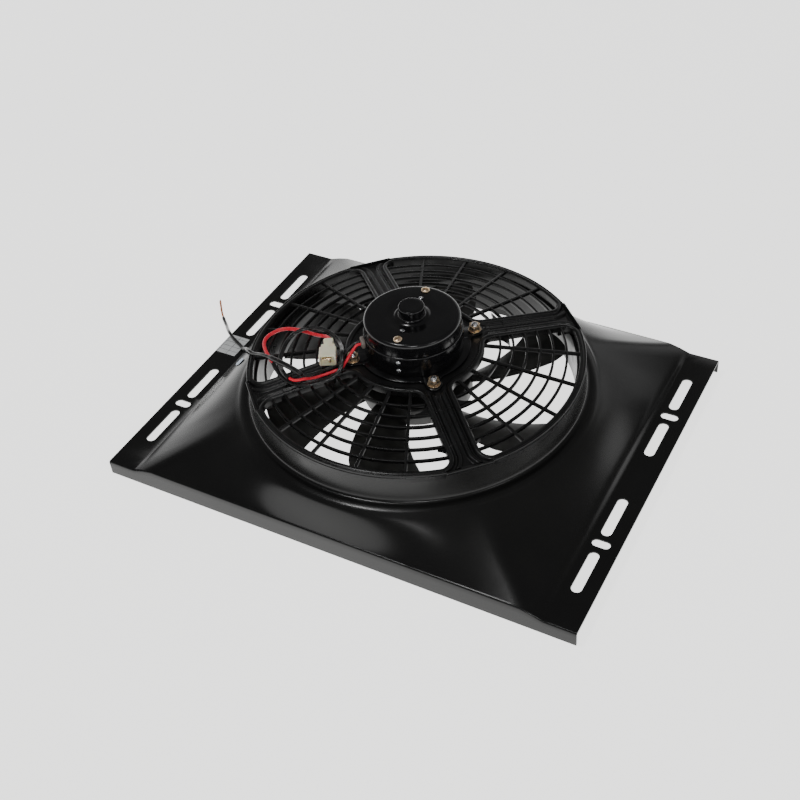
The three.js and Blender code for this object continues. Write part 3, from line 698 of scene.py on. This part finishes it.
def make_cowl():
    parts = Parts()
    angles = ray_angles()
    rings = [[(*polar(r, angle), z) for r, z in hood_line(angle)] for angle in angles]
    n, count = len(rings[0]), len(rings)
    parts.add([p for ring in rings for p in ring],
              [[i * n + j, i * n + j + 1, (i + 1) % count * n + j + 1, (i + 1) % count * n + j]
               for i in range(count) for j in range(n - 1)])
    ends = [ring[-1] for ring in rings]
    for side in (-1, 1):
        border = sorted(y for x, y, _ in ends if abs(x - side * EDGE_X) < 1e-6)
        parts.add(*strip_faces(side, border))
    for end in (-1, 1):
        border = [(x, z) for x, y, z in ends if abs(y - end * EDGE_Y) < 1e-6]
        border += [(side * x, PLATE["z"]) for x in STRIP_COLUMNS for side in (-1, 1)]
        flange(parts, end, sorted(border))
    cowl = parts.build("pressed_cowl", "black_paint", HOUSING, ["cowl"], sharp=40)
    if sum(p.normal.z for p in cowl.data.polygons) < 0:
        cowl.data.flip_normals()
    shell = cowl.modifiers.new("sheet", "SOLIDIFY")
    shell.thickness = PLATE["sheet"] * MM
    shell.offset = -1
    shell.use_even_offset = True
    keep_modifiers(cowl, 35)


make_cowl()


# ------------------------------------------------------------------ guard
NUT = {"r": 62, "across": 10, "h": 5}
GUARD = {"rim": 166, "open": 160, "top": 88.6, "slope": 0.134, "hub": 68, "bore": 42}
ARM = {"half": 14.5, "fillet": 11, "angles": (45, 135, 225, 315), "drop": 2, "plate": 4}
GRILL = {"pitch": 12.8, "rings": 6, "ring": 2.4, "rib": 3, "deep": 3.4, "ribs": (-24.6, -8.2, 8.2, 24.6)}


def cone(x, y):
    return GUARD["top"] + GUARD["slope"] * (GUARD["open"] - max(math.hypot(x, y), GUARD["hub"] - 2))


def opening(sector, grow):
    """One of the guard's four openings, made larger by grow all round."""
    fillet = ARM["fillet"] + grow
    outer, inner = GUARD["open"] + grow, GUARD["hub"] - grow
    edge = ARM["half"] - grow + fillet
    far = 45 - math.degrees(math.asin(edge / (outer - fillet)))
    near = 45 - math.degrees(math.asin(edge / (inner + fillet)))
    half = arc(outer, 0, far, 20)
    half += arc(fillet, far, 135, 10, polar(outer - fillet, far))[1:]
    half += arc(fillet, 135, near + 180, 10, polar(inner + fillet, near))
    half += arc(inner, near, 0, 6)[1:]
    loop = half + [(x, -y) for x, y in half[-2:0:-1]]
    c, s = polar(1, sector)
    return [(x * c - y * s, x * s + y * c) for x, y in loop]


LIP_SECTION = [(0, -6), (0, -0.5), (0.2, 0.25), (0.7, 0.85), (1.4, 1.2), (2.4, 1.3), (3.4, 1.15),
               (4.2, 0.7), (4.7, 0), (5, -0.9), (5.4, -1.7), (6, -2.1), (6, -6)]
RIDGE = {"at": 10, "half": 2, "height": 1.9, "clear": 9}
QUARTERS = (0, 90, 180, 270)
TAB = {"edge": 165.8, "reach": 7.4}
RIM_FLOORS = (89.3, 86.7)
RIM_OFFSETS = sorted({*(i * 0.9 for i in range(-49, 51)), *(k * (TAB["reach"] + j * 0.1)
                                                             for k in (-1, 1) for j in range(6))})


def add_lip(parts, sector):
    """A rounded lip round an opening, with a small fillet down to the arms."""
    rings = []
    for grow, z in LIP_SECTION:
        rings.append([(x, y, z + cone(x, y)) for x, y in opening(sector, grow)])
    parts.rings(rings, closed=True, caps=False)


def arm_half_angle(r, grow):
    """How far an arm reaches to each side of its centre line, in degrees, at a radius."""
    fillet = ARM["fillet"] + grow
    outer, inner = GUARD["open"] + grow, GUARD["hub"] - grow
    edge = ARM["half"] - grow
    result = math.degrees(math.asin(edge / r))
    for centre in (outer - fillet, inner + fillet):
        if abs(r - centre) >= fillet or (centre > 110) != (r > 110):
            continue
        lean = math.degrees(math.asin((edge + fillet) / centre))
        cosine = (r * r + centre * centre - fillet * fillet) / (2 * r * centre)
        result = max(result, lean - math.degrees(math.acos(min(1, cosine))))
    return result


def beyond(r, offset):
    """How far a point of an arm lies outside the nearer opening."""
    u = abs(r * math.sin(math.radians(offset)))
    along = r * math.cos(math.radians(offset))
    fillet = ARM["fillet"]
    result = max(ARM["half"] - u, r - GUARD["open"], GUARD["hub"] - r)
    for centre_r in (GUARD["open"] - fillet, GUARD["hub"] + fillet):
        lean = math.asin((ARM["half"] + fillet) / centre_r)
        du, dr = ARM["half"] + fillet - u, along - centre_r * math.cos(lean)
        if du > 0 and dr * (centre_r - 110) > 0:
            result = max(result, math.hypot(du, dr) - fillet)
    return result


def relief(r, offset):
    """Height above an arm's floor: a ridge that runs beside each opening's lip."""
    near_nut = math.hypot(r * math.cos(math.radians(offset)) - NUT["r"], r * math.sin(math.radians(offset)))
    fade = smooth((near_nut - RIDGE["clear"]) / 5) * smooth((GUARD["rim"] - 2 - r) / 3)
    side = (beyond(r, offset) - RIDGE["at"]) / RIDGE["half"]
    groove = 0.5 * smooth((side - 1) / 0.6) * smooth((near_nut - 12) / 6)
    return RIDGE["height"] * fade * math.exp(-side ** 4 * 0.8) - groove


def add_arm(parts, angle):
    low, top = -ARM["drop"] - ARM["plate"], -ARM["drop"]
    start, stop = GUARD["hub"] - 1.7, GUARD["open"] + 1.7
    rings = []
    for i in range(131):
        r = mix(start, stop, i / 130)
        reach = arm_half_angle(r, 3)
        offsets = [mix(-reach, reach, k / 88) for k in range(89)]
        line = [(*polar(r, angle + offset), top + relief(r, offset) + cone(r, 0)) for offset in offsets]
        under = [(*polar(r, angle + offset), low + cone(r, 0)) for offset in offsets[::-8]]
        rings.append(line + under)
    parts.rings(rings)


def grill_section(width):
    """A bar's section, rounded on top and slightly narrower below."""
    half = width / 2
    return [(-half * 0.8, -GRILL["deep"]), (half * 0.8, -GRILL["deep"]), (half, -0.7),
            (half * 0.8, -0.18), (half * 0.35, 0), (-half * 0.35, 0), (-half * 0.8, -0.18),
            (-half, -0.7)]


def add_grill(parts, sector):
    for i in range(1, GRILL["rings"] + 1):
        r = GUARD["open"] - i * GRILL["pitch"]
        reach = 45 - arm_half_angle(r, 1.2)
        rings = []
        for k in range(33):
            angle = sector + mix(-reach, reach, k / 32)
            rings.append([(*polar(r + u, angle), z + cone(r, 0)) for u, z in grill_section(GRILL["ring"])])
        parts.rings(rings)
    for angle in GRILL["ribs"]:
        c, s = polar(1, sector + angle)
        rings = []
        for k in range(13):
            r = mix(GUARD["hub"] - 1.4, GUARD["open"] + 1.4, k / 12)
            rings.append([(r * c - u * s, r * s + u * c, z + 0.12 + cone(r, 0))
                          for u, z in grill_section(GRILL["rib"])])
        parts.rings(rings)


def add_rim(parts):
    """The guard's rim; each arm ends in a flat there, lower than the rim but for a thin raised edge."""
    rings = []
    for arm in ARM["angles"]:
        for offset in RIM_OFFSETS:
            flat = 1 - smooth((abs(offset) - TAB["reach"]) / 0.5)
            edge = mix(GUARD["rim"], TAB["edge"] / math.cos(math.radians(offset)), flat)
            floor = mix(*RIM_FLOORS, flat)
            section = [(159.6, 80), (162.4, 80), (162.4, 86.2), (edge - 0.2, 86.3), (edge, 86.6),
                       (edge, 88.6), (edge - 0.25, 89.15), (edge - 0.8, 89.4), (edge - 1.5, 89.35),
                       (edge - 2, 89), (edge - 2.3, floor - 0.1), (edge - 3.2, floor - 0.1),
                       (160.4, floor), (159.8, floor - 0.3), (159.6, floor - 1)]
            rings.append([(*polar(r, arm + offset), z) for r, z in section])
    parts.rings(rings, closed=True, caps=False)


def make_guard():
    parts = Parts()
    for sector in QUARTERS:
        add_lip(parts, sector)
        add_grill(parts, sector)
    for angle in ARM["angles"]:
        add_arm(parts, angle)
    low, top = -ARM["drop"] - ARM["plate"] + cone(0, 0), -ARM["drop"] + cone(0, 0)
    hub = rounded([(GUARD["bore"], low, 0.4), (GUARD["hub"] - 1.5, low, 0), (GUARD["hub"] - 1.5, top, 0),
                   (GUARD["bore"] + 8, top, 0.5), (GUARD["bore"] + 7, top + 1.2, 0.5),
                   (GUARD["bore"], top + 1.2, 0.6)], 0.5)
    parts.lathe(hub)
    add_rim(parts)
    parts.build("guard_moulding", "black_moulding", HOUSING, ["fan_guard"], sharp=42)


make_guard()


def make_duct_ring():
    profile = [(157, 38, 1.2), (160, 38, 1.2), (160, 50.5, 1), (175, 50.5, 0.6), (175, 53.5, 0.6),
               (162.4, 53.5, 1), (162.4, 79.5, 0.5), (157, 79.5, 0.5)]
    parts = Parts().lathe(rounded(profile, 0.5), 160)
    for angle in ARM["angles"]:
        c, s = polar(1, angle)
        outline = rounded([(147, -7), (159, -7), (159, 7), (147, 7)], 1.5, 4)
        parts.rings([[((153 + (x - 153) * k) * c - y * k * s, (153 + (x - 153) * k) * s + y * k * c, z)
                      for x, y in outline] for z, k in ((73, 0.94), (73.4, 1), (77.6, 1), (78, 0.96))])
    parts.build("duct_moulding", "black_moulding", HOUSING, ["duct_ring"])


make_duct_ring()


# ------------------------------------------------------------------ impeller
BLADE = {"count": 6, "tip": 152.4, "mid": 54.5, "half": 16.5, "at": 41.5, "sweep": 0.21, "thick": 2.6}
HUB = {"r": 55, "z": 46, "h": 20, "wall": 3}


def blade_section(r, angle):
    """A closed section of the blade at a radius, over the top and back underneath."""
    share = (r - HUB["r"]) / (BLADE["tip"] - HUB["r"])
    half = BLADE["half"] * (1 - 0.1 * smooth((share - 0.8) / 0.2))
    depth = mix(8, 12, min(1, share * 1.6))
    upper, lower = [], []
    for i in range(25):
        s = -math.cos(math.pi * i / 24)
        thick = BLADE["thick"] * math.sqrt(max(0, 1 - s * s)) ** 0.6 * mix(1.15, 0.75, share) / 2
        x, y = polar(r, angle + BLADE["sweep"] * (r - 112) + s * half)
        z = BLADE["mid"] - s * depth + (1 - s * s) * 2.5
        upper.append((x, y, z + thick))
        lower.append((x, y, z - thick))
    return upper + lower[-2:0:-1]


def make_impeller():
    parts = Parts()
    for k in range(BLADE["count"]):
        angle = BLADE["at"] + k * 360 / BLADE["count"]
        radii = [mix(HUB["r"] - 1.5, BLADE["tip"], i / 28) for i in range(29)]
        parts.rings([blade_section(r, angle) for r in radii])
    z, top, r, wall = HUB["z"], HUB["z"] + HUB["h"], HUB["r"], HUB["wall"]
    cup = [(4.5, z + 8, 0.3), (11, z + 8, 0.8), (11, top - wall, 1.5), (r - wall, top - wall, 2),
           (r - wall, z, 0.6), (r, z, 0.6), (r, top, 3), (4.5, top, 0.3)]
    parts.lathe(rounded(cup, 0.5, 5))
    for angle in range(0, 360, 60):
        c, s = polar(1, angle)
        web = ((10, -1.2), (r - 2, -1.2), (r - 2, 1.2), (10, 1.2))
        rings = [[(x * c - y * s, x * s + y * c, h) for x, y in web] for h in (top - 14, top - 2)]
        parts.rings(rings)
    parts.build("impeller_moulding", "blade_plastic", ROTOR, ["impeller"], sharp=50)


make_impeller()


# ------------------------------------------------------------------ motor
MOUNT = {"z": 99.5, "t": 2.3, "r": 55, "ear": 8, "reach": 40}
CAN = {"r": 48.3, "z": 102.1, "top": 124}
CAP = {"r": 47.2, "z": 124.3, "top": 139}
BOSS = {"r": 12.6, "top": 150.5}


def flange_outline(inset, steps=720):
    """The mounting flange: a disc with four rounded ears."""
    outline = []
    for i in range(steps):
        angle = i * 360 / steps
        off = abs(angle % 90 - 45)
        r, ear = MOUNT["r"] - inset, MOUNT["ear"] - inset
        across = NUT["r"] * math.sin(math.radians(off))
        if off < MOUNT["reach"] and across < ear:
            r = max(r, NUT["r"] * math.cos(math.radians(off)) + math.sqrt(ear * ear - across * across))
        elif off < MOUNT["reach"]:
            r = max(r, ear / math.sin(math.radians(off))) + 1.6 * math.exp(-((off - 9.5) / 1.4) ** 2)
        outline.append(polar(r, angle))
    return outline


def make_motor_mount():
    parts = Parts()
    z, top = MOUNT["z"], MOUNT["z"] + MOUNT["t"]
    rings = [(0.3, z), (0, z + 0.3), (0, top - 0.7), (0.2, top - 0.25), (0.7, top)]
    shells = [[(x, y, h) for x, y in flange_outline(inset)] for inset, h in rings]
    inner = arc(34.4, 0, 360, 720)[:-1]
    shells += [[(x, y, top) for x, y in inner], [(x, y, z) for x, y in inner]]
    parts.rings(shells, closed=True, caps=False)
    bell = [(4.8, 84, 0.3), (36, 84, 4), (36, 100.5, 0.2), (34.4, 100.5, 0.2), (34.4, 86, 2.5),
            (13.2, 86, 1), (13.2, 95, 0.5), (11.5, 95, 0.3), (11.5, 86, 0.2), (4.8, 86, 0.2)]
    parts.lathe(rounded(bell, 0.3))
    parts.build("motor_flange", "gloss_paint", HOUSING, ["motor_mount"])


def make_motor_can():
    """The drawn can: a bead at its foot, a straight wall and a rolled shoulder."""
    r, z, top = CAN["r"], CAN["z"], CAN["top"]
    outer = [(r - 1.8, z, 0.2), (r, z, 0.5), (r, top, 2.6), (r - 2.7, top, 0.1), (r - 1.8, top - 2.4, 0.6)]
    parts = Parts().lathe(rounded(outer, 0.4, 6), 192)
    parts.build("motor_can_shell", "gloss_paint", HOUSING, ["motor_can"])


def make_motor_cap():
    r, z, top = CAP["r"], CAP["z"], CAP["top"]
    profile = [(r, z, 0.3), (r, top, 4.4), (27, top, 4), (22, top - 0.4, 4), (18, top - 0.4, 1.6),
               (16, top + 0.7, 1.4), (BOSS["r"] + 0.4, top + 1.2, 1), (BOSS["r"], top + 4, 1),
               (BOSS["r"], BOSS["top"] - 0.3, 1.3), (9, BOSS["top"], 0.6), (0, BOSS["top"] - 0.15, 0),
               (0, BOSS["top"] - 1.5, 0), (BOSS["r"] - 1.5, BOSS["top"] - 1.5, 0.8),
               (BOSS["r"] - 1.5, top - 2.4, 0.8), (r - 6, top - 2.4, 2), (r - 1.6, top - 6.5, 2),
               (r - 1.6, z, 0.2)]
    parts = Parts().lathe(rounded(profile, 0.5, 7), 192)
    parts.build("motor_cap_shell", "gloss_paint", HOUSING, ["motor_cap"])


make_motor_mount()
make_motor_can()
make_motor_cap()


# ------------------------------------------------------------------ fasteners
def make_nut(index, angle, turn):
    """A hexagon nut with chamfered corners and a plain bore chamfered at both ends, its thread not drawn,
    on its washer and stud.
    """
    centre = polar(NUT["r"], angle)
    base = MOUNT["z"] + MOUNT["t"] + 1.6
    flat = NUT["across"] / 2
    steps = 96
    rings = []
    for low in (True, False):
        rim, face = [], []
        for i in range(steps):
            a = i * 360 / steps
            r = flat / math.cos(math.radians((a + 30) % 60 - 30))
            drop = max(0.0, r - flat) * 0.55
            z = base + drop if low else base + NUT["h"] - drop
            x, y = polar(r, a + turn)
            rim.append((x + centre[0], y + centre[1], z))
            x, y = polar(min(r, flat * 0.97), a + turn)
            face.append((x + centre[0], y + centre[1], base if low else base + NUT["h"]))
        rings += [face, rim] if low else [rim, face]
    for r, z in ((3.9, base + NUT["h"]), (3.35, base + NUT["h"] - 0.55), (3.35, base + 0.4), (3.9, base)):
        rings.append([(x, y, z) for x, y in arc(r, turn, turn + 360, steps, centre)[:-1]])
    parts = Parts().rings(rings, closed=True, caps=False)
    parts.build(f"nut_{index}", "yellow_zinc", HOUSING, [f"mount_nut_{index}"], sharp=25)
    low, high = base - 1.3, base - 0.3
    washer = Parts().lathe(rounded([(3.3, low), (6.4, low), (6.4, high), (3.3, high)], 0.25), 48, centre)
    washer.build(f"washer_{index}", "yellow_zinc", HOUSING, [f"mount_washer_{index}"])


STUD = {"r": 3, "core": 2.55, "pitch": 1, "z": (93.6, 110.6)}


def make_stud(index, angle):
    """A threaded stud: a single helical ridge over its length, with a chamfered tip."""
    centre = polar(NUT["r"], angle)
    low, high = STUD["z"]
    turns, sides = (high - low) / STUD["pitch"], 24
    steps = int(turns * 8)
    rings = []
    for share in (i / steps for i in range(steps + 1)):
        end = min(share, 1 - share) * (high - low)
        ring = []
        for a in (k * 360 / sides for k in range(sides)):
            wave = abs((share * turns - a / 360) % 1 * 2 - 1)
            x, y = polar(mix(STUD["core"], STUD["r"], wave) - 0.7 * (1 - smooth(end)), a)
            ring.append((x + centre[0], y + centre[1], mix(low, high, share)))
        rings.append(ring)
    parts = Parts().rings(rings)
    parts.build(f"stud_{index}", "bright_steel", HOUSING, [f"mount_stud_{index}"], sharp=60)


CAP_SCREW = {"r": 39, "head": 4.2, "slot": (0.55, 1.15, 4)}
CAP_FIXINGS = ((1, 98, 20), (2, 278, 70))
CAP_RIVET_R = 25.8
CAN_RIVET_ANGLE = 281


def make_slotted_screw(index, r, angle, turn):
    """A domed slotted head, the slot cut as a step in its top."""
    at = (*polar(r, angle), CAP["top"] + GAP)
    head = CAP_SCREW["head"]
    levels = [(head - 0.3, 0), (head, 0.25)]
    for radius in (head * i / 16 for i in range(16, 0, -1)):
        dome = math.sqrt(max(0, 1 - (radius / head) ** 2) * 0.85 + 0.02)
        levels.append((radius, 0.5 + 1.9 * dome))
    parts = Parts().rings([[(*polar(radius, k * 3.75), z) for k in range(96)] for radius, z in levels])
    settle(parts, at, turn)
    screw = parts.build(f"slotted_screw_{index}", "yellow_zinc", HOUSING, [f"cap_screw_{index}"], sharp=50)
    half, low, high = CAP_SCREW["slot"]
    cutter = Parts().rings([[(x, -half, low), (x, half, low), (x, half, high), (x, -half, high)]
                            for x in (-6, 6)])
    carve(screw, settle(cutter, at, turn))


def carve(piece, cutter):
    """Cuts one shape out of a piece and keeps the result as its mesh."""
    tool = new_object("cutter", cutter.points, cutter.faces)
    modifier = piece.modifiers.new("cut", "BOOLEAN")
    modifier.operation = "DIFFERENCE"
    modifier.object = tool
    modifier.solver = "EXACT"
    keep_modifiers(piece, 40)
    bpy.data.objects.remove(tool)


def make_rivet(name, node, place, axis, radius, height):
    """A domed rivet head standing on a surface."""
    axis = Vector(axis).normalized()
    side = axis.orthogonal().normalized()
    other = axis.cross(side)
    rings = []
    for share, lift in ((0.9, 0), (1, 0.2), (0.97, 0.5), (0.8, 0.8), (0.5, 0.95), (0.15, 1)):
        rings.append([tuple(Vector(place) + side * x + other * y + axis * height * lift)
                      for x, y in arc(radius * share, 0, 360, 24)[:-1]])
    Parts().rings(rings).build(name, "bright_steel", HOUSING, [node])


for number, arm in enumerate(ARM["angles"], 1):
    make_nut(number, arm, 20 + 25 * (number - 1))
    make_stud(number, arm)
for number, angle, turn in CAP_FIXINGS:
    make_slotted_screw(number, CAP_SCREW["r"], angle, turn)
for number, angle, _ in CAP_FIXINGS:
    make_rivet(f"rivet_top_{number}", f"cap_rivet_{number}",
               (*polar(CAP_RIVET_R, angle), CAP["top"] + GAP), (0, 0, 1), 2.2, 1.4)
for number, height in ((1, 119), (2, 109.5)):
    make_rivet(f"rivet_side_{number}", f"can_rivet_{number}",
               (*polar(CAN["r"] + GAP, CAN_RIVET_ANGLE), height), (*polar(1, CAN_RIVET_ANGLE), 0), 2.3, 1.5)

GROMMET = {"at": 49.4, "angle": 222, "z": 118}


def make_grommet():
    """A rubber grommet, its flange on the can's wall, its face hollow where the leads come out."""
    profile = [(0.01, -1.6), (4.3, -1.6, 0.4), (4.3, -0.9, 0.2), (6, -0.9, 0.7), (6, 2.6, 1),
               (2.6, 2.6, 0.8), (2.2, 1.6, 0.4), (0.01, 1.6)]
    rings = []
    c, s = polar(1, GROMMET["angle"])
    for r, h in rounded(profile, 0):
        rings.append([((GROMMET["at"] + h) * c - y * s, (GROMMET["at"] + h) * s + y * c, GROMMET["z"] + z)
                      for y, z in arc(max(r, 0.01), 0, 360, 40)[:-1]])
    Parts().rings(rings).build("lead_grommet", "grey_rubber", HOUSING, ["grommet"])


make_grommet()


# ------------------------------------------------------------------ finishes of the CAD's own pieces
for node_name, node in frame["nodes"].items():
    node.data.materials.clear()
    node.data.materials.append(MATERIALS[SLOTS[node_name]])


# ------------------------------------------------------------------ floor and light
FLOOR_HALF = 60


def make_floor():
    mesh = bpy.data.meshes.new("floor")
    far = FLOOR_HALF
    mesh.from_pydata([(-far, -far, 0), (far, -far, 0), (far, far, 0), (-far, far, 0)], [], [(0, 1, 2, 3)])
    floor = bpy.data.objects.new("floor", mesh)
    bpy.context.collection.objects.link(floor)
    shader = Shader("floor_card", (0.62, 0.62, 0.61), 0.8, Emission_Color=(1, 1, 0.99, 1),
                    Emission_Strength=1.8)
    shader.vary_color(3, (0.64, 0.64, 0.635), 1)
    mesh.materials.append(shader.material)


def make_light(name, location, size, radiance, target=(0, 0, 0.05)):
    """A softbox of a given brightness, facing the part."""
    data = bpy.data.lights.new(name, "AREA")
    data.shape = "RECTANGLE"
    data.size, data.size_y = size
    data.energy = radiance * math.pi * size[0] * size[1]
    light = bpy.data.objects.new(name, data)
    light.location = location
    light.rotation_mode = "QUATERNION"
    light.rotation_quaternion = (Vector(location) - Vector(target)).to_track_quat("Z", "Y")
    bpy.context.collection.objects.link(light)


def make_world():
    """Pale at the horizon and dim overhead, so that the black paint keeps its contrast."""
    world = bpy.data.worlds.new("studio")
    world.use_nodes = True
    tree = world.node_tree
    background = tree.nodes["Background"]
    place = tree.nodes.new("ShaderNodeTexCoord").outputs["Generated"]
    split = tree.nodes.new("ShaderNodeSeparateXYZ")
    fade = tree.nodes.new("ShaderNodeMapRange")
    fade.interpolation_type = "SMOOTHSTEP"
    for socket, value in zip(("From Min", "From Max", "To Min", "To Max"), (0.02, 0.2, 2.1, 0.16)):
        fade.inputs[socket].default_value = value
    tree.links.new(place, split.inputs["Vector"])
    tree.links.new(split.outputs["Z"], fade.inputs["Value"])
    tree.links.new(fade.outputs["Result"], background.inputs["Strength"])
    background.inputs["Color"].default_value = (1, 1, 1, 1)
    bpy.context.scene.world = world


make_floor()
make_light("right", (1.4, -0.4, 1.2), (0.5, 0.45), 4)
make_light("left", (-1.4, 0.62, 0.42), (0.8, 0.4), 0.9)
make_light("rear", (0.1, 2.3, 1.05), (3.0, 0.6), 0.8)
make_light("front", (0.62, -1.3, 1.4), (0.35, 0.3), 22)
make_light("top", (-0.5, -0.3, 2.0), (0.35, 0.3), 32)
make_world()
